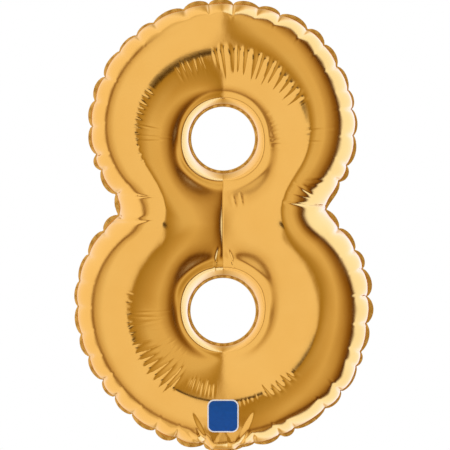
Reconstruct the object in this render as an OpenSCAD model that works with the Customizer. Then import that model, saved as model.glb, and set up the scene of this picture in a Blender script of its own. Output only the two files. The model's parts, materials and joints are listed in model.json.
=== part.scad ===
// Foil number balloon, the digit 8, inflated.
// Two metallised films are welded flat along the outline and around the two counters, then
// blown up. The digit stands in the XZ plane with its front towards -Y, and the origin is
// the centre of the upper counter. A self-closing valve sits between the films at the
// bottom, and its tail is folded up behind the digit.

/* [Digit] */
// Height of the upper lobe above its widest level
upper_above = 99.5; // [94:0.5:104]
// Height of the upper lobe below its widest level
upper_below = 92; // [88:1:96]
// Half width of the upper lobe
upper_half_w = 105; // [100:1:110]
// Widest level of the upper lobe, above the upper counter's centre
upper_level = 8; // [5:1:11]
// Height of the lower lobe above its widest level
lower_above = 97; // [93:1:101]
// Height of the lower lobe below its widest level
lower_below = 116; // [112:1:120]
// Half width of the lower lobe
lower_half_w = 116; // [111:1:121]
// Widest level of the lower lobe, below the upper counter's centre
lower_level = 126.5; // [124:0.5:129]
// Softness of the corner where the two lobes meet at the waist
waist_blend = 20; // [14:1:28]
// Level of the waist, below the upper counter's centre
waist_level = 54; // [51:1:57]

/* [Counters] */
// Radius of the upper counter's opening
upper_counter_r = 24.8; // [23:0.2:26.4]
// Radius of the lower counter's opening
lower_counter_r = 25.4; // [23.4:0.2:27]
// Distance between the centres of the two counters
counter_pitch = 134; // [131:1:137]

/* [Film] */
// Thickness that each film is drawn with
film = 0.8; // [0.6:0.1:1.2]
// Height of each film at the crest of a tube, beside and beyond the counters
ring_h = 28; // [26:0.5:29]
// Height of each film at the crests beside the waist
waist_h = 41; // [36:0.5:43]
// Reach of that swelling up and down
swell_r = 42; // [36:1:46]
// Distance from the rim to the crest, in the upper lobe
crest_upper = 34; // [33:0.5:36]
// Distance from the rim to the crest, in the lower lobe
crest_lower = 37; // [36:0.5:39]
// Distance from a counter's weld to the crest, in the upper lobe
inner_upper = 40; // [38:0.5:42]
// Distance from a counter's weld to the crest, in the lower lobe
inner_lower = 46; // [43:0.5:48]
// Share by which the crease between the counters is lower than the crests beside it
crease = 0.36; // [0.3:0.02:0.4]
// Half width of the hollow along that crease
crease_w = 46; // [42:1:48]
// Reach of that hollow up and down
crease_l = 78; // [74:1:80]

/* [Welds] */
// Width of the welded flange around the outline
flange_w = 4; // [3:0.5:6]
// Width of the welded ring around each counter
counter_weld_w = 3.2; // [2.6:0.1:4]
// Thickness that the welds are drawn with
weld_t = 1.2; // [1.2:0.1:1.6]

/* [Valve] */
// Width of the valve's films
valve_w = 18; // [14:1:20]
// Length of the valve above its hinge line
valve_l = 52; // [40:1:56]
// Height of that hinge line above the lowest point of the rim
valve_root = 9; // [8:1:11]
// Gap between the valve's two films at rest
valve_gap = 0.4; // [0.3:0.1:0.4]
// Thickness that a valve film is drawn with
valve_t = 0.4; // [0.3:0.1:0.4]
// Width of the valve's side welds
valve_weld_w = 1.5; // [1:0.5:3]

/* [Tail] */
// Width of the tail
tail_w = 24; // [22:1:30]
// Length of the first stretch, which runs back under the digit
tail_root_l = 30; // [29:1:34]
// Length of the second stretch, which runs up behind the digit
tail_tip_l = 34; // [24:1:38]
// Angle of the first stretch above level, folded
tail_root_rise = 30; // [26:1:31]
// Angle of the second stretch above level, folded
tail_tip_rise = 80; // [76:1:81]
// Drop of the first fold line below the rim
fold_drop = 1.5; // [1.5:0.1:2]
// Distance that the films keep from a fold line
fold_gap = 1.1; // [1:0.1:1.3]
// Thickness that a film of the tail is drawn with
tail_film = 0.5; // [0.4:0.1:0.5]
// Gap between the tail's two films
tail_gap = 0.5; // [0.3:0.1:0.5]
// Width of the tail's side welds
tail_weld_w = 2.5; // [2:0.5:4]

/* [Printed mark] */
// Height of the printed mark on the lower lobe
mark_h = 24; // [18:1:26]
// Width of the printed mark
mark_w = 22; // [16:1:24]
// Corner radius of the mark
mark_corner = 4; // [2:0.5:6]
// Height of the mark's centre above the lowest point of the rim
mark_level = 28; // [26:1:30]
// Thickness that the print is drawn with
mark_t = 0.4; // [0.3:0.1:0.6]
// Distance that the print stands off the film
mark_gap = 0.1; // [0.1:0.1:0.3]

/* [Hidden] */

gold = "#e0a84a";
bronze = "#a9752b";
clear_film = "#d8dde0";
print_blue = "#004b97";

// Points of the digit are [across, up]
upper_centre = [0, 0];
lower_centre = [0, -counter_pitch];
rim_bottom = -lower_level - lower_below;
between_counters = -counter_pitch / 2;

// Steps along each lobe's arc, along the waist, and from a counter to the rim
arc_n = 52;
waist_n = 20;
ring_n = 8;
loop_n = arc_n + waist_n;
mark_n = 8;

// The first and the second fold line of the tail, as [back, up]
root_fold = [0, rim_bottom - fold_drop];
tip_fold = root_fold + tail_root_l * [cos(tail_root_rise), sin(tail_root_rise)];

// ---- Where a point lies in the digit ----

// Depth of p inside one lobe, whose upper and lower halves are two half ellipses
function lobe(p, half_w, level, above, below) =
  half_w * (1 - norm([p.x / half_w, (p.y - level) / (p.y > level ? above : below)]));

// The larger of two depths, rounded off where they are alike
function soft_max(a, b) = max(a, b) + pow(max(waist_blend - abs(a - b), 0), 2) / (4 * waist_blend);

// Depth of p inside the outline, 0 on the flange's outer edge
function depth(p) = soft_max(
  lobe(p, upper_half_w, upper_level, upper_above, upper_below),
  lobe(p, lower_half_w, -lower_level, lower_above, lower_below));

// Distance from p to the nearer counter's opening
function counter_gap(p) =
  min(norm(p - upper_centre) - upper_counter_r, norm(p - lower_centre) - lower_counter_r);

function bell(d, reach) = exp(-pow(d / reach, 2));

// A quarter circle: steep at 0, level from 1 on
function quarter(t) = t >= 1 ? 1 : t <= 0 ? 0 : sqrt(1 - pow(1 - t, 2));

// 1 at 0, 0 at reach, smooth between
function hill(d, reach) = let(t = max(0, min(1, abs(d) / reach))) 1 - t * t * (3 - 2 * t);

// Distance from p to the segment from a to b
function segment_gap(p, a, b) =
  let(t = max(0, min(1, (p - a) * (b - a) / ((b - a) * (b - a))))) norm(p - a - t * (b - a));

// Distance from p to the weld line of the rim
function rim_gap(p) = min([for (i = [0:len(rim_line) - 1])
  segment_gap(p, rim_line[i], rim_line[(i + 1) % len(rim_line)])]);

// Height of the film over the weld plane, for a film whose edges lie inset from the welds
function height(p, inset) =
  let(up = max(0, min(1, (p.y - lower_centre.y) / counter_pitch)),
    outer = crest_lower + (crest_upper - crest_lower) * up,
    inner = inner_lower + (inner_upper - inner_lower) * up,
    tall = ring_h + (waist_h - ring_h) * bell(p.y - between_counters, swell_r),
    hollow = crease * hill(p.y - between_counters, crease_l) * pow(max(0, 1 - abs(p.x) / crease_w), 2))
  (tall - inset) * quarter((rim_gap(p) - inset) / outer)
  * quarter((counter_gap(p) - counter_weld_w - inset) / inner) * (1 - hollow);

// ---- The outline and the lines parallel to it ----

// Length of the ray from c along dir to where the depth is level, found by halving
function reach(c, dir, level, lo = 30, hi = 135, steps = 26) =
  let(mid = (lo + hi) / 2)
  steps == 0 ? mid
  : depth(c + mid * dir) > level ? reach(c, dir, level, mid, hi, steps - 1)
  : reach(c, dir, level, lo, mid, steps - 1);

function waist_x(level) = reach([0, -waist_level], [1, 0], level);

function arc_at(c, from, to, level) =
  [for (i = [0:arc_n]) let(a = from + (to - from) * i / arc_n, dir = [cos(a), sin(a)])
    c + reach(c, dir, level) * dir];

// Upper arc from the right of the waist over the top, lower arc from its left under the bottom
function upper_arc(level) =
  let(a = atan2(-waist_level, waist_x(level))) arc_at(upper_centre, a, 180 - a, level);
function lower_arc(level) =
  let(a = atan2(counter_pitch - waist_level, waist_x(level)))
  arc_at(lower_centre, 180 - a, 360 + a, level);

// Inner points of the waist line, from the side given by turn to the other
function waist(level, turn) =
  [for (j = [1:waist_n - 1]) [turn * waist_x(level) * (2 * j / waist_n - 1), -waist_level]];

function outline(level) =
  let(u = upper_arc(level), l = lower_arc(level))
  concat([for (i = [0:arc_n - 1]) u[i]], [for (i = [0:arc_n - 1]) l[i]]);

rim_line = outline(flange_w);

// ---- One inflated film: two rings of points that share the waist line ----

function lobe_points(loop, c, r, inset) =
  [for (i = [0:loop_n - 1], k = [0:ring_n])
    let(away = loop[i] - c, t = (1 - cos(180 * k / ring_n)) / 2,
      p = c + away / norm(away) * (r + (norm(away) - r) * t),
      welded = k == 0 || (k == ring_n && i <= arc_n))
    [p.x, -weld_t / 2 - (welded ? 0 : height(p, inset)), p.y]];

function film_points(inset) =
  let(level = flange_w + inset, weld = counter_weld_w + inset)
  concat(
    lobe_points(concat(upper_arc(level), waist(level, 1)), upper_centre, upper_counter_r + weld, inset),
    lobe_points(concat(lower_arc(level), waist(level, -1)), lower_centre, lower_counter_r + weld, inset));

// Number of the point at step i of a loop and ring k. side is 0 outside and 1 inside, and
// half is 0 for the upper lobe and 1 for the lower, whose waist points are the upper lobe's
function id(side, half, i, k) =
  let(j = i % loop_n, shared = half == 1 && k == ring_n && (j == 0 || j >= arc_n),
    own = shared ? (j == 0 ? arc_n : (loop_n + arc_n - j) % loop_n) : j)
  ((side * 2 + (shared ? 0 : half)) * loop_n + own) * (ring_n + 1) + k;

// Two triangles, listed the other way round when flip is true
function quad(a, b, c, d, flip) = flip ? [[d, c, b], [d, b, a]] : [[a, b, c], [a, c, d]];

film_faces = [for (half = [0, 1]) each concat(
  [for (side = [0, 1], i = [0:loop_n - 1], k = [0:ring_n - 1])
    each quad(id(side, half, i, k), id(side, half, i, k + 1),
      id(side, half, i + 1, k + 1), id(side, half, i + 1, k), side == 0)],
  [for (i = [0:arc_n - 1])
    each quad(id(1, half, i, ring_n), id(0, half, i, ring_n),
      id(0, half, i + 1, ring_n), id(1, half, i + 1, ring_n), false)],
  [for (i = [0:loop_n - 1])
    each quad(id(0, half, i, 0), id(1, half, i, 0),
      id(1, half, i + 1, 0), id(0, half, i + 1, 0), false)])];

module inflated_film() {
  polyhedron(concat(film_points(0), film_points(film)), film_faces, convexity = 8);
}

// ---- Films and welds of the digit ----

module front_panel() {
  color(gold) inflated_film();
}

module back_panel() {
  color(gold) mirror([0, 1, 0]) inflated_film();
}

// A flat shape in the weld plane, with the thickness t
module in_weld_plane(t) {
  rotate([90, 0, 0]) linear_extrude(t, center = true) children();
}

// The flange lies under both films' edges and is open where the valve comes out
module outer_seam() {
  color(bronze) in_weld_plane(weld_t) difference() {
    polygon(outline(0));
    polygon(outline(flange_w + film));
    translate([-valve_w / 2, rim_bottom - 1]) square([valve_w, valve_root]);
  }
}

module counter_seam(c, r) {
  color(bronze) translate([c.x, 0, c.y]) rotate([90, 0, 0]) difference() {
    cylinder(h = weld_t, r = r + counter_weld_w + film, center = true, $fn = 96);
    cylinder(h = weld_t + 1, r = r, center = true, $fn = 96);
  }
}

module upper_counter_seam() {
  counter_seam(upper_centre, upper_counter_r);
}

module lower_counter_seam() {
  counter_seam(lower_centre, lower_counter_r);
}

// ---- Valve ----

// The valve's lower end, welded into the gap of the flange, with its flat passage
module valve_neck() {
  neck_h = valve_root - 1;
  color(clear_film) translate([0, 0, rim_bottom]) difference() {
    translate([-valve_w / 2, -weld_t / 2, 0]) cube([valve_w, weld_t, neck_h]);
    translate([-valve_w / 2 + valve_weld_w, -valve_gap / 2, -1])
      cube([valve_w - 2 * valve_weld_w, valve_gap, neck_h + 2]);
  }
}

// One valve film, in front (side -1) or behind (side 1), with rounded upper corners
module valve_film(side) {
  corner = valve_w / 6;
  color(clear_film) translate([0, side * (valve_gap + valve_t) / 2, rim_bottom + valve_root])
    in_weld_plane(valve_t) {
      translate([-valve_w / 2, 0]) square([valve_w, valve_l - corner]);
      translate([-valve_w / 2 + corner, 0]) square([valve_w - 2 * corner, valve_l]);
      for (s = [-1, 1]) translate([s * (valve_w / 2 - corner), valve_l - corner]) circle(corner, $fn = 32);
    }
}

module valve_front_film() {
  valve_film(-1);
}

module valve_back_film() {
  valve_film(1);
}

// ---- Tail ----

// Places a stretch of the tail, drawn flat along +Y, at its fold line
module at_fold(fold, angle) {
  translate([0, fold[0], fold[1]]) rotate([angle, 0, 0]) children();
}

// The tail's front film is the lower one while it is folded
module tail_front(from, to) {
  color(gold) translate([-tail_w / 2, from, -tail_gap / 2 - tail_film])
    cube([tail_w, to - from, tail_film]);
}

// The back film carries the side welds that join it to the front one
module tail_back(from, to) {
  color(gold) {
    translate([-tail_w / 2, from, tail_gap / 2]) cube([tail_w, to - from, tail_film]);
    for (x = [-tail_w / 2, tail_w / 2 - tail_weld_w])
      translate([x, from, -tail_gap / 2]) cube([tail_weld_w, to - from, tail_gap]);
  }
}

module tail_root_front_film() {
  at_fold(root_fold, tail_root_rise) tail_front(fold_gap, tail_root_l - fold_gap);
}

module tail_root_back_film() {
  at_fold(root_fold, tail_root_rise) tail_back(fold_gap, tail_root_l - fold_gap);
}

module tail_tip_front_film() {
  at_fold(tip_fold, tail_tip_rise) tail_front(fold_gap, tail_tip_l);
}

module tail_tip_back_film() {
  at_fold(tip_fold, tail_tip_rise) tail_back(fold_gap, tail_tip_l);
}

// ---- Printed mark: a plain rounded panel that lies on the curve of the front film ----

module front_mark() {
  bottom = rim_bottom + mark_level - mark_h / 2;
  row = mark_n + 1;
  // Points over the mark's rectangle, standing off the film by lift
  function sheet(lift) = [for (j = [0:mark_n], i = [0:mark_n])
    let(p = [mark_w * (i / mark_n - 0.5), bottom + mark_h * j / mark_n])
    [p.x, -weld_t / 2 - height(p, 0) - lift, p.y]];
  function at(side, i, j) = (side * row + j) * row + i;
  faces = concat(
    [for (side = [0, 1], i = [0:mark_n - 1], j = [0:mark_n - 1])
      each quad(at(side, i, j), at(side, i + 1, j), at(side, i + 1, j + 1), at(side, i, j + 1), side == 0)],
    [for (n = [0:mark_n - 1]) each concat(
      quad(at(0, n, 0), at(1, n, 0), at(1, n + 1, 0), at(0, n + 1, 0), true),
      quad(at(0, n, mark_n), at(1, n, mark_n), at(1, n + 1, mark_n), at(0, n + 1, mark_n), false),
      quad(at(0, 0, n), at(1, 0, n), at(1, 0, n + 1), at(0, 0, n + 1), false),
      quad(at(0, mark_n, n), at(1, mark_n, n), at(1, mark_n, n + 1), at(0, mark_n, n + 1), true))]);
  color(print_blue) intersection() {
    polyhedron(concat(sheet(mark_gap + mark_t), sheet(mark_gap)), faces);
    translate([0, -upper_half_w / 2, bottom + mark_h / 2]) in_weld_plane(upper_half_w)
      offset(mark_corner, $fn = 32) square([mark_w, mark_h] - 2 * mark_corner * [1, 1], center = true);
  }
}

front_panel();
back_panel();
outer_seam();
upper_counter_seam();
lower_counter_seam();
valve_neck();
valve_front_film();
valve_back_film();
tail_root_front_film();
tail_root_back_film();
tail_tip_front_film();
tail_tip_back_film();
front_mark();
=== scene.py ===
"""The looks of a gold foil number balloon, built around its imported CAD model.

The front and the back film are each two fans of points, one round each counter, that share
the line across the waist. A film stands over the weld plane as a tube that follows the rim,
with a crease between the counters and a channel at the neck, where the tail starts. Puckers
along the rim, and pleats and folds round the counters, are added along its normals. Lengths
are in millimetres until a mesh is made.
"""

import json
import math

import bpy
import numpy as np
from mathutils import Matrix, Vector
from mathutils.bvhtree import BVHTree
from mathutils.kdtree import KDTree


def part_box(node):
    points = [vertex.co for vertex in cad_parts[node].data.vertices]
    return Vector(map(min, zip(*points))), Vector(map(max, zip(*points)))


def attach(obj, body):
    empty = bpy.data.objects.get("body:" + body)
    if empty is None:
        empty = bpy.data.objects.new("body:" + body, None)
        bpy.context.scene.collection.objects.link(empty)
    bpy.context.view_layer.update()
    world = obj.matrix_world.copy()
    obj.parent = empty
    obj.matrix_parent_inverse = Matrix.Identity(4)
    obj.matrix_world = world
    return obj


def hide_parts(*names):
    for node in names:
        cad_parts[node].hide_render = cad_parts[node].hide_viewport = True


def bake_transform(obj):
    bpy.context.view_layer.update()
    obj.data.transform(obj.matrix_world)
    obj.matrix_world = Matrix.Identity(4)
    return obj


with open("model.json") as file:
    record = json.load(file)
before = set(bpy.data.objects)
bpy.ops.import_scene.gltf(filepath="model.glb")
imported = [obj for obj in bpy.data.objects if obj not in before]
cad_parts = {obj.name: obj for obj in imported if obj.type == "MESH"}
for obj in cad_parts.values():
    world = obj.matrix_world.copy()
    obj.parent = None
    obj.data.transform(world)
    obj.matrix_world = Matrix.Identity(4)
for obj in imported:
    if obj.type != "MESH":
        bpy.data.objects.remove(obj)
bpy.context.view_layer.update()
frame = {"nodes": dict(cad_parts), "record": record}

MM = 0.001
rng = np.random.default_rng(8)

# ---------------------------------------------------------------- sizes from the frame


def node_box(node):
    return np.array(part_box(node)) / MM


RIM_LOW, RIM_HIGH = node_box("outer_seam")
UPPER_CENTRE = node_box("upper_counter_seam").mean(axis=0)[[0, 2]]
LOWER_CENTRE = node_box("lower_counter_seam").mean(axis=0)[[0, 2]]
TAIL_LOW, TAIL_HIGH = node_box("tail_tip_back_film")
MARK_LOW, MARK_HIGH = node_box("front_mark")
JOINT = {j["name"]: np.array(j["pos_m"]) / MM for j in frame["record"]["behaviour"]["joints"]}
MOUNT = {m["name"]: np.array(m["pos_m"]) / MM for m in frame["record"]["mounts"]}

# ---------------------------------------------------------------- the outline

# The CAD model's outline: each lobe is two half ellipses, and z is up from the centre of the
# upper counter.
UPPER = {"half_w": 105, "level": 8, "above": 99.5, "below": 92}
LOWER = {"half_w": 116, "level": -126.5, "above": 97, "below": 116}
WAIST_BLEND = 20
WAIST_LEVEL = -54
FLANGE = 4
COUNTERS = ((UPPER_CENTRE, 24.8), (LOWER_CENTRE, 25.4))
COUNTER_WELD = 3.2
# At the neck the weld line runs this much lower, between these directions from straight down.
NECK_DROP = 4.6
NECK_FADE = (8.5, 3.9)
# A ray from a counter's or the waist's centre meets the outline between these distances.
NEAREST_RIM = 30.0
FARTHEST_RIM = 135.0


def lobe_depth(p, half_w, level, above, below):
    height = np.where(p[..., 1] > level, above, below)
    return half_w * (1 - np.hypot(p[..., 0] / half_w, (p[..., 1] - level) / height))


def depth(p):
    """How deep points lie inside the outline, 0 on the flange's outer edge."""
    a, b = lobe_depth(p, **UPPER), lobe_depth(p, **LOWER)
    return np.maximum(a, b) + np.maximum(WAIST_BLEND - np.abs(a - b), 0) ** 2 / (4 * WAIST_BLEND)


def fade(value, start, end):
    """0 at start, 1 at end, smooth between."""
    t = np.clip((value - start) / (end - start), 0, 1)
    return t * t * (3 - 2 * t)


def reach(centre, directions, level):
    """The points where rays from centre come to the given depth, found by halving."""
    low, high = np.full(len(directions), NEAREST_RIM), np.full(len(directions), FARTHEST_RIM)
    for _ in range(36):
        middle = (low + high) / 2
        inside = depth(centre + middle[:, None] * directions) > level
        low, high = np.where(inside, middle, low), np.where(inside, high, middle)
    return centre + low[:, None] * directions


def arc(centre, start, end, steps):
    """The weld line seen from a counter's centre, from one direction to another, in degrees."""
    angles = np.radians(np.linspace(start, end, steps + 1))
    directions = np.column_stack([np.cos(angles), np.sin(angles)])
    line = reach(centre, directions, FLANGE)
    below = np.degrees(np.arctan2(np.abs(line[:, 0]), LOWER_CENTRE[1] - line[:, 1]))
    return line + directions * (NECK_DROP * fade(below, *NECK_FADE))[:, None]


WAIST_X = reach(np.array([0.0, WAIST_LEVEL]), np.array([[1.0, 0.0]]), FLANGE)[0, 0]


def loops(fine):
    """The closed line round each counter: its part of the weld line, then the waist line."""
    upper_steps, lower_steps, waist_steps = (round(n * fine) for n in (500, 600, 200))
    a = math.degrees(math.atan2(WAIST_LEVEL - UPPER_CENTRE[1], WAIST_X))
    b = math.degrees(math.atan2(WAIST_LEVEL - LOWER_CENTRE[1], WAIST_X))
    across = np.linspace(-WAIST_X, WAIST_X, waist_steps + 1)[1:-1]
    waist = np.column_stack([across, np.full(len(across), float(WAIST_LEVEL))])
    return (
        (arc(UPPER_CENTRE, a, 180 - a, upper_steps), waist),
        (arc(LOWER_CENTRE, 180 - b, 360 + b, lower_steps), waist[::-1]),
    )


# ---------------------------------------------------------------- the weld line's puckers

# Usual length of a pucker along the weld line.
PUCKER = 19.5


class WeldLine:
    """The weld line from the right of the waist, over the top and round to where it began."""

    def __init__(self):
        (upper, _), (lower, _) = loops(4)
        self.points = np.vstack([upper, lower[1:-1]])
        step = np.linalg.norm(np.roll(self.points, -1, axis=0) - self.points, axis=1)
        self.at = np.r_[0, np.cumsum(step)[:-1]]
        self.length = step.sum()
        ahead = np.roll(self.points, -3, axis=0) - np.roll(self.points, 3, axis=0)
        self.out = np.column_stack([ahead[:, 1], -ahead[:, 0]])
        self.out /= np.linalg.norm(self.out, axis=1, keepdims=True)
        self.tree = KDTree(len(self.points))
        for i, p in enumerate(self.points):
            self.tree.insert((p[0], p[1], 0), i)
        self.tree.balance()
        count = round(self.length / PUCKER)
        spread = rng.uniform(-0.24, 0.24, count) + np.arange(count)
        self.notches = np.sort(spread) * self.length / count
        self.deep = rng.uniform(0.55, 1.3, count)

    def nearest(self, p):
        """Distance to the weld line and number of its nearest point, for each point."""
        found = [self.tree.find((x, z, 0)) for x, z in p.tolist()]
        return np.array([f[2] for f in found]), np.array([f[1] for f in found])

    def pucker(self, number):
        """0 in a notch between two puckers, 1 in the middle of one, and how deep the notch is."""
        at = self.at[number]
        after = np.searchsorted(self.notches, at) % len(self.notches)
        before = after - 1
        start, end = self.notches[before], self.notches[after]
        start = np.where(start > at, start - self.length, start)
        end = np.where(end < at, end + self.length, end)
        share = (at - start) / (end - start)
        near = np.where(share < 0.5, self.deep[before], self.deep[after])
        return np.sqrt(np.abs(np.sin(math.pi * share))), near


weld = WeldLine()

# ---------------------------------------------------------------- the film's shape

# Height of the crest beside the counters and beside the waist, and how far up and down the
# waist's height reaches.
RING_HEIGHT = 28
WAIST_HEIGHT = 41
WAIST_SPREAD = 42
# The crest's distance from the weld line and from a counter's weld, at the level of the lower
# and of the upper counter.
CREST_TO_RIM = (37, 34)
CREST_TO_COUNTER = (46, 40)
# Over 1, the film leaves the weld line less steeply than a quarter circle does.
RIM_POWER = 1.28

# The valley between the counters, as a share of the film's height.
CREASE_LEVEL = (UPPER_CENTRE[1] + LOWER_CENTRE[1]) / 2
CREASE_REACH = 46
CREASE_DROP = 0.36
CREASE_END = 78
# The crease in the valley's middle, steeper on the left.
SHARP_DROP = 0.026
SHARP_LEFT = 3.0
SHARP_RIGHT = 14.0
SHARP_FADE = (48, 30)

# The channel at the neck: its height and half width at the mouth, how fast both grow upwards
# (slope and flare), the steepness of its sides, and how it blends into the film.
WELD_LOW = RIM_LOW[2] + FLANGE - NECK_DROP
MOUTH_HEIGHT = 6.0
MOUTH_HALF = 6
SPOUT_SLOPE = 0.68
SPOUT_FLARE = 0.55
SPOUT_SIDE = 1.1
SPOUT_BLEND = 3.0
SPOUT_TOP = UPPER_CENTRE[1] - 180

# The film stands up in a lip round each counter: its distance from the weld, width and height,
# each on the side away from the waist and on the side towards it.
LIP = ((3.6, 5.5), (2.8, 4.0), (2.2, 4.5))
LIP_FADE = (72, 42)
# Rings pressed into the lip: distance from the weld, half width, height.
RIPPLES = ((6.6, 0.7, -0.10), (4.3, 0.7, 0.08))

# The film's edge in the weld plane: how far it comes in at a notch, how far it stands out all
# round, how far it reaches into a counter, and the width of the band that each moves.
NOTCH_DEPTH = 3.0
NOTCH_BAND = 10
EDGE_OUT = 2.5
EDGE_BAND = 20
COUNTER_IN = 1.5
COUNTER_BAND = 7
# Places where the edge stands a little further out: x, z and how far.
BULGES = ((72, 92, 3.0), (90, -192, 3.5))
BULGE_SPREAD = 30
BULGE_BAND = 34
# How full the film is between two notches.
PILLOW = 0.7


def quarter(t):
    """A quarter circle: steep at 0, level from 1 on."""
    return np.sqrt(np.maximum(1 - (1 - np.clip(t, 0, 1)) ** 2, 0))


def height(p, rim_gap):
    """Height of the smooth film over the weld plane."""
    x, z = np.abs(p[:, 0]), p[:, 1]
    gap = np.min([np.hypot(*(p - c).T) - r - COUNTER_WELD for c, r in COUNTERS], axis=0)
    levels = (LOWER_CENTRE[1], UPPER_CENTRE[1])
    outer, inner = np.interp(z, levels, CREST_TO_RIM), np.interp(z, levels, CREST_TO_COUNTER)
    swell = np.exp(-(((z - CREASE_LEVEL) / WAIST_SPREAD) ** 2))
    tall = RING_HEIGHT + (WAIST_HEIGHT - RING_HEIGHT) * swell
    between = fade(np.abs(z - CREASE_LEVEL), CREASE_END, 0)
    dip = between * CREASE_DROP * np.maximum(1 - x / CREASE_REACH, 0) ** 2
    sharp = fade(np.abs(z - CREASE_LEVEL), *SHARP_FADE)
    dip += sharp * SHARP_DROP * np.exp(-x / np.where(p[:, 0] < 0, SHARP_LEFT, SHARP_RIGHT))
    h = tall * quarter(rim_gap / outer) ** RIM_POWER * quarter(gap / inner) * (1 - dip)
    near = fade(np.abs(z - CREASE_LEVEL), *LIP_FADE)
    lip_gap, lip_width, lip_height = (far + (at_waist - far) * near for far, at_waist in LIP)
    h += lip_height * np.exp(-(((gap - lip_gap) / lip_width) ** 2)) * fade(gap, 0, 1.5)
    up = np.maximum(z - WELD_LOW, 0)
    aside = np.maximum(x - MOUTH_HALF - SPOUT_FLARE * up, 0)
    spout = MOUTH_HEIGHT + SPOUT_SLOPE * up + SPOUT_SIDE * aside
    spout *= fade(up, -0.1, 2.0)
    spout = np.where(z < SPOUT_TOP, spout, 99)
    bend = np.maximum(SPOUT_BLEND - np.abs(h - spout), 0) ** 2 / (4 * SPOUT_BLEND)
    return h - bend - np.maximum(h - spout, 0)


# ---------------------------------------------------------------- folds

# No notch has a fold within this distance of the neck's middle.
NECK_HALF = 16
# Pleats round the counters, full between sharp valleys: counter, first and last direction in
# degrees, count, inner and outer end from the counter's centre, height, lean in degrees.
PLEATS = (
    (0, 22, 98, 14, 43, 73, 0.95, 4),
    (0, 144, 212, 16, 61, 74, 0.5, 0),
    (0, -40, -22, 5, 62, 86, 0.6, 8),
    (1, 197, 241, 9, 45, 83, 0.8, -5),
    (1, 241, 266, 8, 52, 67, 0.45, 0),
    (1, 166, 197, 8, 68, 80, 0.45, 0),
    (1, -64, -38, 6, 60, 80, 0.75, 4),
    (1, -84, -66, 6, 67, 76, 0.25, 0),
)
# Fans of thin folds: the same, with the depth and the half width of a fold at the end.
FANS = (
    (0, -12, 12, 3, 38, 84, 0.9, 0.9),
    (0, -14, 32, 9, 37, 46, 0.5, 0.9),
    (0, 172, 187, 3, 38, 74, 1.0, 0.8),
    (0, 102, 128, 7, 50, 67, 0.25, 0.8),
    (0, 20, 60, 5, 41, 60, 0.3, 0.8),
    (1, 176, 192, 3, 41, 78, 0.9, 0.8),
    (1, -38, 2, 8, 43, 56, 0.3, 0.8),
    (1, 196, 236, 7, 43, 60, 0.4, 0.8),
)
# Single creases: both ends, depth and half width.
CREASES = (
    ((-86, -44), (-48, -46), 1.5, 1.5),
    ((-86, -66), (-46, -62), 1.5, 1.5),
    ((86, -53), (46, -50), 2.0, 1.7),
    ((72, -47), (54, -34), 0.8, 1.1),
    ((-3, -84), (-7, -103), 0.8, 1.0),
    ((4, -86), (9, -102), 0.8, 1.0),
    ((7, -44), (10, -54), 0.7, 1.0),
    ((13, -42), (15, -53), 0.7, 1.0),
    ((-8, -242), (-21, -223), 1.6, 1.6),
    ((-12, -242), (-28, -225), 0.9, 1.0),
    ((8, -242), (20, -224), 1.6, 1.6),
    ((12, -242), (27, -227), 0.9, 1.0),
)


def folds():
    """Every fold pressed into the films: both ends, depth and half width."""
    found = [(np.array(a, float), np.array(b, float), deep, wide) for a, b, deep, wide in CREASES]
    for at, deep in zip(weld.notches, weld.deep):
        number = np.searchsorted(weld.at, at) % len(weld.points)
        start, out = weld.points[number], weld.out[number]
        if abs(start[0]) < NECK_HALF and start[1] < RIM_LOW[2] + 20:
            continue
        aside = np.array([-out[1], out[0]]) * rng.uniform(-2.5, 2.5)
        found.append((start + 4 * out, start - rng.uniform(10, 14) * out + aside, 0.9 * deep, 0.8))
    for counter, first, last, count, inner, outer, deep, wide in FANS:
        step = (last - first) / count
        for k in range(count):
            angle = math.radians(first + step * (k + 0.5 + rng.uniform(-0.35, 0.35)))
            lean = rng.normal(0, 0.025)
            start = inner + rng.uniform(-0.1, 0.3) * (outer - inner)
            end = outer + rng.uniform(-0.22, 0.08) * (outer - inner)
            centre = COUNTERS[counter][0]
            a = centre + start * np.array([math.cos(angle), math.sin(angle)])
            b = centre + end * np.array([math.cos(angle + lean), math.sin(angle + lean)])
            found.append((a, b, deep * rng.uniform(0.4, 1.15), wide * rng.uniform(0.7, 1.3)))
    return found


def pleated(p):
    """How far the pleats stand out at each point."""
    total = np.zeros(len(p))
    for counter, first, last, count, inner, outer, tall, lean in PLEATS:
        away = p - COUNTERS[counter][0]
        far = np.hypot(*away.T)
        uneven = rng.uniform(-0.3, 0.3, count + 1) * (last - first) / count
        valleys = np.linspace(first, last, count + 1) + uneven
        starts = inner + rng.uniform(-0.05, 0.35, count + 1) * (outer - inner)
        ends = outer + rng.uniform(-0.12, 0.06, count + 1) * (outer - inner)
        size = rng.uniform(0.65, 1.2, count + 1)
        size[0] = size[-1] = 0
        middle = (first + last) / 2
        turn = np.degrees(np.arctan2(away[:, 1], away[:, 0])) - middle
        turn = (turn + 180) % 360 - 180 + middle - lean * (far - inner) / (outer - inner) + lean / 2
        start, end, big = (np.interp(turn, valleys, v) for v in (starts, ends, size))
        number = np.clip(np.searchsorted(valleys, turn) - 1, 0, count - 1)
        share = np.clip((turn - valleys[number]) / (valleys[number + 1] - valleys[number]), 0, 1)
        round_top = np.sqrt(np.abs(np.sin(math.pi * share)))
        end = end - 5 * (1 - round_top)
        shape = fade(far, start, (start + end) / 2) * fade(far, end, end - 4)
        inside = (turn > valleys[0]) & (turn < valleys[-1])
        total += inside * tall * big * shape * (round_top - 0.75)
    return total


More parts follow.
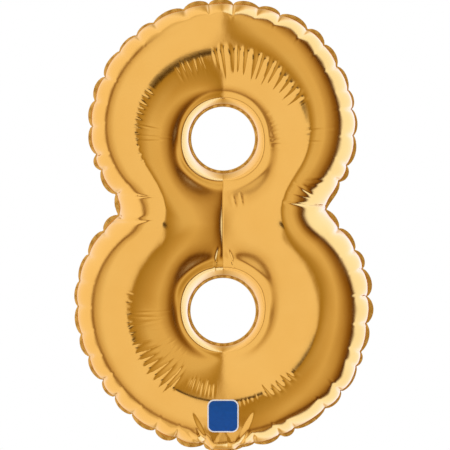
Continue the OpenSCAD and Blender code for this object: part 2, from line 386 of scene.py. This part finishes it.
def pressed(p, found):
    """How far the folds press the film in at each point, negative beside a fold."""
    total = np.zeros(len(p))
    for a, b, deep, wide in found:
        along = b - a
        length = np.hypot(*along)
        along = along / length
        away = p - a
        t = away @ along / length
        off = np.abs(away @ np.array([-along[1], along[0]]))
        shape = np.sin(math.pi * np.clip(t, 0, 1)) ** 0.75
        total += deep * shape * (np.exp(-off / wide) - 0.45 * np.exp(-((off / (2.6 * wide)) ** 2)))
    return total


# ---------------------------------------------------------------- the films' meshes


def weighted_normals(points, faces):
    """The unit normal of the surface at each point."""
    mesh = bpy.data.meshes.new("scratch")
    mesh.from_pydata(points.tolist(), [], faces.tolist())
    normals = np.empty(len(points) * 3)
    mesh.vertex_normals.foreach_get("vector", normals)
    bpy.data.meshes.remove(mesh)
    return normals.reshape(-1, 3)


def film(side, fine, rows, found):
    """One inflated film, in front for side -1 and behind for side 1: points, faces and the
    numbers of the points on the weld line, in order."""
    (upper, waist), (lower, _) = loops(fine)
    # Points from a counter's weld outwards, closest together at both ends.
    share = (1 - np.cos(np.pi * np.arange(rows + 1) / rows)) / 2
    line, columns, faces = [], [], []
    # The outermost points by place, so that the two fans share those on the waist line.
    ends = {}
    total = 0
    for (centre, r), edge in zip(COUNTERS, (np.vstack([upper, waist]), np.vstack([lower, waist[::-1]]))):
        away = edge - centre
        size = np.linalg.norm(away, axis=1)
        from_centre = (r + COUNTER_WELD) + (size - r - COUNTER_WELD)[:, None] * share
        grid = centre + (away / size[:, None])[:, None] * from_centre[..., None]
        number = np.empty(grid.shape[:2], int)
        for i, place in enumerate(np.round(grid[:, -1], 4).tolist()):
            known = ends.get(tuple(place))
            own = rows if known is not None else rows + 1
            number[i, :own] = total + np.arange(own)
            if known is None:
                ends[tuple(place)] = total + rows
            else:
                number[i, rows] = known
            line.append(grid[i, :own])
            total += own
        after = np.roll(number, -1, axis=0)
        quads = np.stack([number[:, :-1], number[:, 1:], after[:, 1:], after[:, :-1]], axis=-1).reshape(-1, 4)
        faces.append(quads)
        columns.append(number[:, -1])
    p, faces = np.vstack(line), np.vstack(faces)
    rim = np.r_[columns[0][: len(upper)], columns[1][1 : len(lower) - 1]]
    rim_gap, nearest = weld.nearest(p)
    rim_gap[rim] = 0
    pucker, deep = weld.pucker(nearest)
    shift = fade(rim_gap, NOTCH_BAND, 0) * (pucker - 1) * NOTCH_DEPTH * deep
    shift += EDGE_OUT * fade(rim_gap, EDGE_BAND, 0)
    shift *= fade(p[:, 1], RIM_LOW[2] + 1, RIM_LOW[2] + 9)
    neck = fade(np.abs(p[:, 0]), 18, 10) * fade(p[:, 1], RIM_LOW[2] + 22, RIM_LOW[2] + 10)
    for x, z, far in BULGES:
        near = np.exp(-np.hypot(p[:, 0] - x, p[:, 1] - z) ** 2 / BULGE_SPREAD ** 2)
        shift += far * near * fade(rim_gap, BULGE_BAND, 0)
    h = height(p, rim_gap)
    points = np.column_stack([p[:, 0], side * h, p[:, 1]])
    out = weld.out[nearest]
    points[:, [0, 2]] += out * shift[:, None]
    ripple = np.zeros(len(p))
    for centre, r in COUNTERS:
        away = p - centre
        gap = np.hypot(*away.T) - r - COUNTER_WELD
        inward = COUNTER_IN * fade(gap, COUNTER_BAND, 0)
        points[:, [0, 2]] -= away / (gap + r + COUNTER_WELD)[:, None] * inward[:, None]
        for at, wide, tall in RIPPLES:
            turn = np.arctan2(away[:, 1], away[:, 0])
            uneven = 1 + 0.5 * np.sin(2 * turn + at) + 0.3 * np.sin(5 * turn + 3 * at)
            ripple += tall * uneven * np.exp(-(((gap - at - 0.5 * np.sin(turn + at)) / wide) ** 2))
    if side > 0:
        faces = faces[:, ::-1]
    normals = weighted_normals(points, faces)
    swell = fade(rim_gap, 11, 4) * fade(rim_gap, 0, 3) * (pucker - 0.7) * PILLOW * deep * (1 - neck)
    swell += ripple
    press = (pressed(p, found) - pleated(p)) * quarter(rim_gap / 3)
    # Nothing moves where the film meets a weld.
    free = fade(h, 0.0, 3.0)
    points += normals * ((swell - press) * free)[:, None]
    return points, faces, rim


def made(name, points, faces, material):
    """A smooth mesh object from points in millimetres."""
    mesh = bpy.data.meshes.new(name)
    mesh.from_pydata((np.asarray(points) * MM).tolist(), [], [list(face) for face in faces])
    mesh.materials.append(material)
    mesh.shade_smooth()
    obj = bpy.data.objects.new(name, mesh)
    bpy.context.scene.collection.objects.link(obj)
    return obj


def thick(obj, size):
    """Gives a sheet its thickness, half to each side."""
    solid = obj.modifiers.new("thickness", "SOLIDIFY")
    solid.thickness = size * MM
    solid.offset = 0
    return obj


def strip_faces(rows, columns, closed):
    """Quads of a grid of rows by columns points; the last column joins the first when closed."""
    number = np.arange(rows * columns).reshape(rows, columns)
    after = np.roll(number, -1, axis=1)
    quads = np.stack([number[:-1], number[1:], after[1:], after[:-1]], axis=-1)
    return (quads if closed else quads[:, :-1]).reshape(-1, 4)


# ---------------------------------------------------------------- materials


class Nodes:
    """A short way to write a material's node tree."""

    def __init__(self, name):
        self.material = bpy.data.materials.new(name)
        self.material.use_nodes = True
        self.tree = self.material.node_tree
        self.shader = self.tree.nodes["Principled BSDF"]
        self.place = self.add("ShaderNodeTexCoord").outputs["Object"]

    def add(self, kind, **settings):
        node = self.tree.nodes.new(kind)
        for key, value in settings.items():
            setattr(node, key, value)
        return node

    def link(self, source, target):
        self.tree.links.new(source, target)

    def noise(self, scale, detail=2.0, rough=0.5):
        node = self.add("ShaderNodeTexNoise")
        node.inputs["Scale"].default_value = scale
        node.inputs["Detail"].default_value = detail
        node.inputs["Roughness"].default_value = rough
        self.link(self.place, node.inputs["Vector"])
        return node.outputs["Fac"]

    def range(self, source, low, high, start=0.3, end=0.7):
        """The source from start to end, spread from low to high."""
        node = self.add("ShaderNodeMapRange")
        for socket, value in zip(("From Min", "From Max", "To Min", "To Max"), (start, end, low, high)):
            node.inputs[socket].default_value = value
        self.link(source, node.inputs["Value"])
        return node.outputs["Result"]

    def ramp(self, source, *stops):
        node = self.add("ShaderNodeValToRGB")
        ends = node.color_ramp.elements
        while len(ends) < len(stops):
            ends.new(0.5)
        for end, (position, colour) in zip(ends, stops):
            end.position, end.color = position, colour
        self.link(source, node.inputs["Fac"])
        return node.outputs["Color"]

    def bump(self, *layers):
        """Bump layers on each other, each a height source, a strength and a depth in metres."""
        before = None
        for source, strength, deep in layers:
            node = self.add("ShaderNodeBump")
            node.inputs["Strength"].default_value = strength
            node.inputs["Distance"].default_value = deep
            self.link(source, node.inputs["Height"])
            if before:
                self.link(before, node.inputs["Normal"])
            before = node.outputs["Normal"]
        self.link(before, self.shader.inputs["Normal"])

    def set(self, **values):
        for name, value in values.items():
            self.shader.inputs[name.replace("_", " ")].default_value = value


def foil_material():
    m = Nodes("gold_foil")
    m.set(Metallic=1.0)
    tint = m.ramp(m.noise(35, 3), (0.3, (0.84, 0.47, 0.108, 1)), (0.7, (0.86, 0.495, 0.122, 1)))
    m.link(tint, m.shader.inputs["Base Color"])
    m.link(m.range(m.noise(60, 4), 0.09, 0.14), m.shader.inputs["Roughness"])
    m.bump((m.noise(90, 3), 0.12, 0.0004), (m.noise(700, 4, 0.6), 0.10, 0.00005))
    return m.material


def weld_material():
    m = Nodes("welded_foil")
    m.set(Metallic=1.0)
    tint = m.ramp(m.noise(120, 3), (0.3, (0.60, 0.32, 0.065, 1)), (0.7, (0.72, 0.40, 0.09, 1)))
    m.link(tint, m.shader.inputs["Base Color"])
    m.link(m.range(m.noise(300, 3), 0.2, 0.34), m.shader.inputs["Roughness"])
    weave = m.add("ShaderNodeTexWave", wave_type="BANDS", bands_direction="DIAGONAL")
    weave.inputs["Scale"].default_value = 260
    m.link(m.place, weave.inputs["Vector"])
    m.bump((weave.outputs["Fac"], 0.2, 0.00008), (m.noise(200, 3), 0.3, 0.0003))
    return m.material


def print_material(name, dark, light):
    m = Nodes(name)
    m.link(m.ramp(m.noise(400, 3), (0.3, dark), (0.7, light)), m.shader.inputs["Base Color"])
    m.set(IOR=1.3)
    m.link(m.range(m.noise(150, 3), 0.4, 0.5), m.shader.inputs["Roughness"])
    m.bump((m.noise(700, 4, 0.6), 0.10, 0.00005))
    return m.material


def valve_material():
    m = Nodes("valve_film")
    m.set(IOR=1.5, Transmission_Weight=0.85)
    tint = m.ramp(m.noise(80, 3), (0.3, (0.82, 0.85, 0.87, 1)), (0.7, (0.9, 0.92, 0.93, 1)))
    m.link(tint, m.shader.inputs["Base Color"])
    m.link(m.range(m.noise(200, 3), 0.16, 0.3), m.shader.inputs["Roughness"])
    m.bump((m.noise(500, 3), 0.3, 0.0002))
    return m.material


FOIL, WELD, VALVE = foil_material(), weld_material(), valve_material()
PRINT_BLUE = print_material("blue_print", (0.0, 0.068, 0.30, 1), (0.0, 0.078, 0.34, 1))
PRINT_WHITE = print_material("white_print", (0.82, 0.82, 0.80, 1), (0.9, 0.9, 0.88, 1))

# ---------------------------------------------------------------- the digit

# The front film has the finer mesh, and stays under 200,000 triangles.
found = folds()
front_points, front_faces, front_rim = film(-1, 0.85, 78, found)
front = made("front_film", front_points, front_faces, FOIL)
back = made("back_film", *film(1, 0.5, 60, found)[:2], FOIL)
front.visible_glossy = back.visible_glossy = False


# Width of the welded edge outside the film, in a notch and how much more between two, and its
# thickness.
FLANGE_LEAST = 0.7
FLANGE_MORE = 2.6
WELD_THICK = 0.3


def flange():
    """The welded edge outside the film, widest in the middle of each pucker."""
    nearest = weld.nearest(front_points[front_rim][:, [0, 2]])[1]
    pucker, deep = weld.pucker(nearest)
    out = weld.out[nearest]
    ends = front_points[front_rim]
    rows = []
    # Some stretches are wider than others, and it nearly ends at the neck.
    sliver = 0.6 + 0.4 * np.sin(weld.at[nearest] * 0.043 + 1.2) * np.sin(weld.at[nearest] * 0.017)
    below = fade(np.abs(ends[:, 0]), 12, 9) * fade(ends[:, 2], RIM_LOW[2] + 20, RIM_LOW[2] + 10)
    for share in np.linspace(-0.25, 1, 8):
        reach_out = share * (FLANGE_LEAST + FLANGE_MORE * pucker * sliver) * (1 - 0.9 * below)
        wave = np.sin(weld.at[nearest] * 0.9) * 0.12 + (1 - pucker) * 0.7 * deep
        row = ends.copy()
        row[:, [0, 2]] += out * reach_out[:, None]
        row[:, 1] = wave * max(share, 0)
        rows.append(row)
    return np.vstack(rows), strip_faces(len(rows), len(ends), True)


rim_weld = thick(made("rim_weld", *flange(), WELD), WELD_THICK)


def counter_weld(name, centre, r):
    """The welded ring round a counter, drawn slightly uneven."""
    steps, rows = 240, []
    angle = np.arange(steps) * 2 * math.pi / steps
    for k in range(6):
        far = r + (COUNTER_WELD + 0.3) * k / 5
        wave = 0.12 * np.sin(angle * 17 + 0.6 * k) + 0.08 * np.sin(angle * 31)
        x, z = centre[0] + far * np.cos(angle), centre[1] + far * np.sin(angle)
        rows.append(np.column_stack([x, wave * (k < 5), z]))
    return thick(made(name, np.vstack(rows), strip_faces(6, steps, True), WELD), WELD_THICK)


upper_weld = counter_weld("upper_counter_weld", *COUNTERS[0])
lower_weld = counter_weld("lower_counter_weld", *COUNTERS[1])

# ---------------------------------------------------------------- the printed mark


def patch(name, half_w, half_h, corner, lift, material):
    """A rounded patch that lies on the front film: rings of points, closed by a fan."""
    surface = BVHTree.FromObject(front, bpy.context.evaluated_depsgraph_get())
    centre = (MARK_LOW + MARK_HIGH) / 2
    turn = np.radians(np.linspace(0, 90, 7))
    x, z = half_w - corner + corner * np.cos(turn), half_h - corner + corner * np.sin(turn)
    right = np.column_stack([x, z])
    top = np.vstack([right, right[::-1] * [-1, 1]])
    edge = np.vstack([top, -top])
    edge = np.vstack([np.linspace(a, b, 6)[:-1] for a, b in zip(edge, np.roll(edge, -1, axis=0))])
    rows = [edge * s for s in np.linspace(1, 0.12, 14)]
    points = []
    for x, z in np.vstack(rows + [[0, 0]]):
        hit = surface.ray_cast(Vector((x * MM, -0.2, (centre[2] + z) * MM)), Vector((0, 1, 0)))
        points.append(np.array(hit[0] + hit[1] * lift * MM * (-1 if hit[1].y > 0 else 1)) / MM)
    faces = strip_faces(len(rows), len(edge), True).tolist()
    last, count = (len(rows) - 1) * len(edge), len(edge)
    faces += [[last + k, last + count, last + (k + 1) % count] for k in range(count)]
    return made(name, points, faces, material)


bpy.context.view_layer.update()
mark_w, mark_h = (MARK_HIGH - MARK_LOW)[[0, 2]] / 2
mark_border = patch("mark_border", mark_w + 1.0, mark_h + 1.0, 5.0, 0.12, PRINT_WHITE)
mark_print = patch("mark_print", mark_w, mark_h, 4.2, 0.24, PRINT_BLUE)

# ---------------------------------------------------------------- the filling tail

ROOT_FOLD = JOINT["tail_root_fold"][1:]
TIP_FOLD = JOINT["tail_tip_fold"][1:]
MOUTH = MOUNT["tail_mouth"][1:]


def rounded(corners, radii, step):
    """A line through corners, in the YZ plane, with its inner corners rounded."""
    line = [corners[0]]
    for before, here, after, r in zip(corners, corners[1:], corners[2:], radii):
        a, b = (before - here) / np.linalg.norm(before - here), (after - here) / np.linalg.norm(after - here)
        half = math.acos(np.clip(a @ b, -1, 1)) / 2
        back_off = r / math.tan(half)
        middle = here + (a + b) / np.linalg.norm(a + b) * r / math.sin(half)
        start, end = here + a * back_off - middle, here + b * back_off - middle
        turn = math.pi - 2 * half
        for t in np.linspace(0, 1, 9):
            away = start * math.sin((1 - t) * turn) + end * math.sin(t * turn)
            line.append(middle + away / math.sin(turn))
    line = np.vstack(line + [corners[-1]])
    along = np.r_[0, np.cumsum(np.linalg.norm(np.diff(line, axis=0), axis=1))]
    at = np.linspace(0, along[-1], round(along[-1] / step) + 1)
    return np.column_stack([np.interp(at, along, line[:, i]) for i in (0, 1)])


TAIL_STEP = 0.5
TAIL_START = np.array([0, ROOT_FOLD[1] + 4.5])
PATH = rounded([TAIL_START, ROOT_FOLD - [0, 0.5], TIP_FOLD, MOUTH], (0.9, 5), TAIL_STEP)
HALFWAY = int(np.argmin(np.linalg.norm(PATH - (ROOT_FOLD + TIP_FOLD) / 2, axis=1)))
TAIL_HALF = (TAIL_HIGH - TAIL_LOW)[0] / 2
TAIL_COLUMNS = 49
TAIL_THICK = 0.08


def tail_film(side):
    """A film of the tail, side -1 for the front one, as a grid of rows down the path."""
    ahead = np.gradient(PATH, axis=0)
    ahead /= np.linalg.norm(ahead, axis=1, keepdims=True)
    right = np.column_stack([-ahead[:, 1], ahead[:, 0]])
    x = np.linspace(-1, 1, TAIL_COLUMNS)
    along = np.arange(len(PATH))[:, None] * TAIL_STEP
    # The two films stand apart except at their side welds, and are crinkled alike.
    open_up = 0.09 + 0.34 * (1 - np.abs(x) ** 6)
    crinkle = 0.13 * np.sin(along * 0.31 + 4 * x) + 0.03 * np.sin(along * 0.83 - 5 * x + 1)
    crinkle += 0.05 * np.sin(9 * x + 0.1 * along + 2)
    calm = fade(along, 8, 16) * (1 - x ** 8)
    # The tail is narrower where it comes out of the neck.
    wide = TAIL_HALF * (0.62 + 0.38 * fade(along[:, 0], 2, 9))
    off = side * open_up + crinkle * calm
    y = PATH[:, :1] + right[:, :1] * off
    z = PATH[:, 1:] + right[:, 1:] * off
    return np.stack([wide[:, None] * x, y, z], axis=-1)


def tail_piece(name, grid):
    """A stretch of one of the tail's films."""
    rows, columns = grid.shape[:2]
    return thick(made(name, grid.reshape(-1, 3), strip_faces(rows, columns, False), FOIL), TAIL_THICK)


front_tail, back_tail = tail_film(-1), tail_film(1)
tail_pieces = {
    "tail_root_front": (front_tail[: HALFWAY + 1], "tail_root_front_film"),
    "tail_root_back": (back_tail[: HALFWAY + 1], "tail_root_back_film"),
    "tail_tip_front": (front_tail[HALFWAY:], "tail_tip_front_film"),
    "tail_tip_back": (back_tail[HALFWAY:], "tail_tip_back_film"),
}

# ---------------------------------------------------------------- riding

for obj, slot, nodes in (
    (front, "foil", ["front_panel"]),
    (back, "foil", ["back_panel"]),
    (rim_weld, "weld", ["outer_seam"]),
    (upper_weld, "weld", ["upper_counter_seam"]),
    (lower_weld, "weld", ["lower_counter_seam"]),
    (mark_border, "print", []),
    (mark_print, "print", ["front_mark"]),
):
    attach(obj, "digit")
    if nodes:
        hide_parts(*nodes)

for name, (grid, node) in tail_pieces.items():
    obj = tail_piece(name, grid)
    if name.startswith("tail_root"):
        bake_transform(obj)
    else:
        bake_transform(obj)
    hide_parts(node)

for name in ("valve_neck", "valve_front_film", "valve_back_film"):
    node = frame["nodes"][name]
    node.data.materials.clear()
    node.data.materials.append(VALVE)

# ---------------------------------------------------------------- studio


def environment():
    """Soft studio walls round the object: bright on the left, dimmer on the right, and light
    behind with a dim band in the middle. A dark spot is straight in front, and a thin dark ring
    beside the object fades out overhead. The camera itself sees white."""
    world = bpy.data.worlds.new("studio")
    bpy.context.scene.world = world
    world.use_nodes = True
    tree = world.node_tree
    tree.nodes.clear()

    def add(kind, **settings):
        node = tree.nodes.new(kind)
        for key, value in settings.items():
            setattr(node, key, value)
        return node

    def maths(operation, a, b=0.0, c=0.0):
        node = add("ShaderNodeMath", operation=operation)
        for socket, value in zip(node.inputs, (a, b, c)):
            if isinstance(value, float):
                socket.default_value = value
            else:
                tree.links.new(value, socket)
        return node.outputs[0]

    place = add("ShaderNodeTexCoord").outputs["Generated"]
    split = add("ShaderNodeSeparateXYZ")
    tree.links.new(place, split.inputs[0])
    x, y, z = split.outputs
    turn = maths("ARCTAN2", x, maths("MULTIPLY", y, -1.0))
    share = maths("MULTIPLY_ADD", turn, 0.5 / math.pi, 0.5)

    def mixed(blend_type, factor, a, b):
        node = add("ShaderNodeMix", data_type="RGBA", blend_type=blend_type, clamp_result=False)
        for socket, value in zip((node.inputs[0], node.inputs[6], node.inputs[7]), (factor, a, b)):
            if isinstance(value, (float, tuple)):
                socket.default_value = value
            else:
                tree.links.new(value, socket)
        return node.outputs[2]

    def ramp(factor, stops, full, zero):
        """A colour ramp over angles, whose stops are pairs of degrees and a colour. The ramp is
        full degrees long, and 0 degrees is at the share zero of it."""
        node = add("ShaderNodeValToRGB")
        tree.links.new(factor, node.inputs["Fac"])
        ends = node.color_ramp.elements
        while len(ends) < len(stops):
            ends.new(0.5)
        for end, (degrees, (r, g, b)) in zip(ends, stops):
            end.position = degrees / full + zero
            end.color = (r, g, b, 1)
        return node.outputs["Color"]

    # 0 a little above the object's level, 1 well below it.
    low = maths("SUBTRACT", 0.1, maths("MULTIPLY", z, 2.5))
    low = maths("MINIMUM", maths("MAXIMUM", low, 0.0), 1.0)
    above = ramp(share, WALLS + RIGHT_ABOVE + BEHIND, 360, 0.5)
    below = ramp(share, WALLS + RIGHT_BELOW + BEHIND, 360, 0.5)
    walls = mixed("MIX", low, above, below)
    along = maths("MULTIPLY", maths("SUBTRACT", z, x), SLANT)
    across = maths("MULTIPLY", maths("ADD", z, x), SLANT)
    along = maths("POWER", maths("DIVIDE", along, SPOT_LENGTH), 2.0)
    across = maths("POWER", maths("DIVIDE", across, SPOT_WIDTH), 2.0)
    far = maths("ADD", along, across)
    gap = add("ShaderNodeMapRange", interpolation_type="SMOOTHSTEP")
    gap.inputs["From Min"].default_value = 0.1
    gap.inputs["From Max"].default_value = 1.5
    tree.links.new(far, gap.inputs["Value"])
    light = maths("MAXIMUM", gap.outputs["Result"], maths("GREATER_THAN", y, 0.0))
    # The angle from the front, as a share of 180 degrees.
    polar = maths("DIVIDE", maths("ARCCOSINE", maths("MULTIPLY", y, -1.0)), math.pi)
    overhead = maths("MINIMUM", maths("MAXIMUM", maths("MULTIPLY_ADD", z, 5.5, -3.8), 0.0), 1.0)
    ring = mixed("MIX", overhead, ramp(polar, RING, 180, 0.0), (1.0, 1.0, 1.0, 1.0))
    walls = mixed("MULTIPLY", 1.0, walls, ring)
    strength = add("ShaderNodeBackground")
    tree.links.new(mixed("MIX", light, SPOT_COLOUR, walls), strength.inputs["Color"])
    plain = add("ShaderNodeBackground")
    plain.inputs["Color"].default_value = (1, 1, 1, 1)
    mix = add("ShaderNodeMixShader")
    tree.links.new(add("ShaderNodeLightPath").outputs["Is Camera Ray"], mix.inputs["Fac"])
    tree.links.new(strength.outputs[0], mix.inputs[1])
    tree.links.new(plain.outputs[0], mix.inputs[2])
    tree.links.new(mix.outputs[0], add("ShaderNodeOutputWorld").inputs["Surface"])


# The dark spot in front, a slanting oval with a soft edge.
SPOT_COLOUR = (0.03, 0.012, 0.003, 1)
SPOT_LENGTH = 0.10
SPOT_WIDTH = 0.06
SLANT = 0.7071
# Colour of the walls by direction, in degrees to the right of the front. The right side has one
# set of colours above the object's level and one below it.
WALLS = (
    (-180, (0.62, 0.5, 0.3)),
    (-166, (0.9, 0.84, 0.7)),
    (-148, (1.14, 1.12, 1.2)),
    (-82, (1.12, 1.08, 1.12)),
    (-72, (0.8, 0.72, 0.6)),
    (-58, (1.02, 0.98, 0.97)),
    (-1.5, (1.04, 1.0, 1.0)),
    (2.5, (0.42, 0.29, 0.05)),
)
RIGHT_ABOVE = (
    (9, (0.56, 0.43, 0.18)),
    (22, (0.84, 0.76, 0.6)),
    (42, (0.86, 0.77, 0.6)),
    (56, (0.6, 0.47, 0.28)),
    (66, (0.32, 0.19, 0.05)),
    (74, (0.22, 0.12, 0.02)),
)
RIGHT_BELOW = (
    (10, (0.5, 0.38, 0.15)),
    (26, (0.64, 0.51, 0.27)),
    (42, (0.8, 0.7, 0.5)),
    (56, (0.6, 0.47, 0.26)),
    (66, (0.32, 0.19, 0.05)),
    (74, (0.22, 0.12, 0.02)),
)
BEHIND = (
    (82, (1.2, 1.5, 2.6)),
    (148, (1.26, 1.6, 2.9)),
    (168, (0.95, 0.9, 0.8)),
    (180, (0.62, 0.5, 0.3)),
)
# Share of that light by the angle from the front: a thin dark ring beside the object.
RING = (
    (0, (1, 1, 1)),
    (60, (1, 1, 1)),
    (71, (0.86, 0.8, 0.68)),
    (74.5, (0.36, 0.24, 0.12)),
    (76.5, (0.4, 0.28, 0.15)),
    (79.5, (1, 1, 1)),
    (180, (1, 1, 1)),
)
environment()

FLOOR_LEVEL = -1.1
FLOOR_SIZE = 12
bpy.ops.mesh.primitive_plane_add(size=1, location=(0, 0, FLOOR_LEVEL))
floor = bpy.context.object
floor.name = "studio_floor"
floor.scale = (FLOOR_SIZE, FLOOR_SIZE, 1)
ground = Nodes("pale_floor")
ground.set(Roughness=0.9)
tint = ground.ramp(ground.noise(3, 3), (0.3, (0.90, 0.87, 0.78, 1)), (0.7, (0.92, 0.89, 0.80, 1)))
ground.link(tint, ground.shader.inputs["Base Color"])
floor.data.materials.append(ground.material)
floor.visible_glossy = False

# ---------------------------------------------------------------- camera

# The camera's distance in metres, and the width in metres that the picture shows there.
DISTANCE = 2.0
PICTURE = 0.3508
SENSOR = 36
camera_data = bpy.data.cameras.new("camera")
camera = bpy.data.objects.new("camera", camera_data)
bpy.context.scene.collection.objects.link(camera)
camera_data.sensor_width = SENSOR
camera_data.lens = SENSOR * DISTANCE / PICTURE
camera.location = (1.5 * MM, -DISTANCE, (RIM_LOW[2] + RIM_HIGH[2]) / 2 * MM)
camera.rotation_euler = (math.pi / 2, 0, 0)
bpy.context.scene.camera = camera
bpy.context.scene.view_settings.view_transform = "Standard"

bpy.context.view_layer.update()
